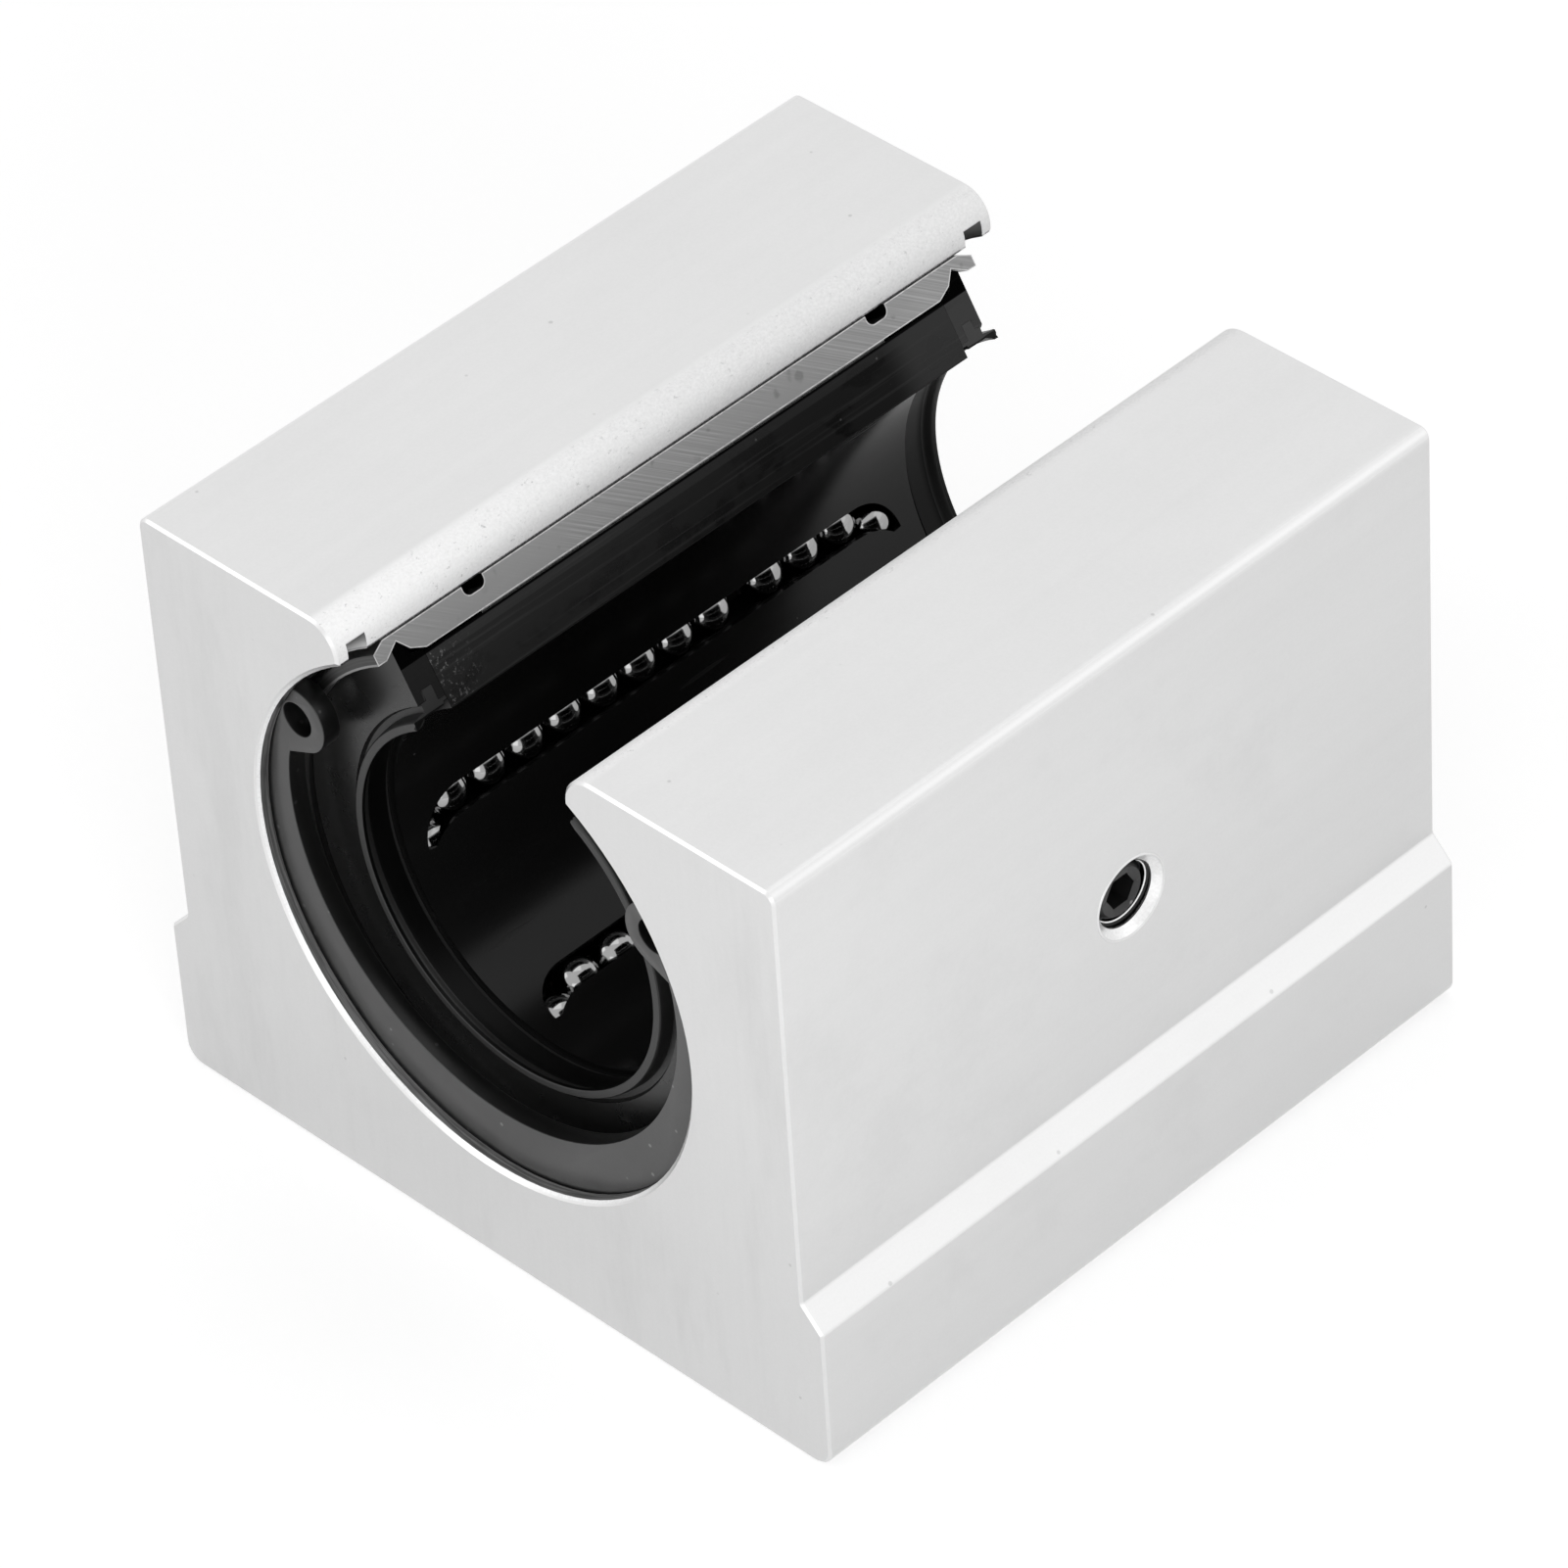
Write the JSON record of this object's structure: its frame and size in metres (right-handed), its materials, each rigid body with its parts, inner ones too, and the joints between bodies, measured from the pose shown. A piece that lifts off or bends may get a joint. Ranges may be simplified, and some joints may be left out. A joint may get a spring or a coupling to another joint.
{
  "type": "linear bearing block",
  "caption": "Open linear bearing block: aluminium housing with a slotted recirculating ball bushing held by internal retaining rings, for a supported round shaft.",
  "frame": {"origin": "centre of the flat mounting face", "axes": "+Z from the mounting face up through the rail slot, +Y along the bore, +X toward the wall with the clamping screw"},
  "size_m": [0.08, 0.08, 0.063],
  "materials": {
    "housing_aluminium": "satin, extruded and milled",
    "sleeve_steel": "ground, slot faces cut",
    "retainer_plastic": "smooth black",
    "end_ring_plastic": "smooth black",
    "seal_rubber": "soft black",
    "ring_steel": "black oxide spring steel",
    "screw_steel": "black oxide",
    "ball_steel": "polished"
  },
  "bodies": {
    "block": {"housing": "housing_aluminium", "outer_sleeve": "sleeve_steel", "ball_retainer": "retainer_plastic", "end_ring_front": "end_ring_plastic", "end_ring_rear": "end_ring_plastic", "end_seal_front": "seal_rubber", "end_seal_rear": "seal_rubber", "retaining_ring_front": "ring_steel", "retaining_ring_rear": "ring_steel", "loaded_balls_1": "ball_steel", "loaded_balls_2": "ball_steel", "loaded_balls_3": "ball_steel", "loaded_balls_4": "ball_steel", "loaded_balls_5": "ball_steel", "return_balls_1": "ball_steel", "return_balls_2": "ball_steel", "return_balls_3": "ball_steel", "return_balls_4": "ball_steel", "return_balls_5": "ball_steel"},
    "clamp": {"set_screw": "screw_steel"}
  },
  "joints": [
    {"name": "clamp_slide", "type": "slide", "parent": "block", "child": "clamp", "axis": [1, 0, 0], "range_m": [0, 0.006]}
  ]
}
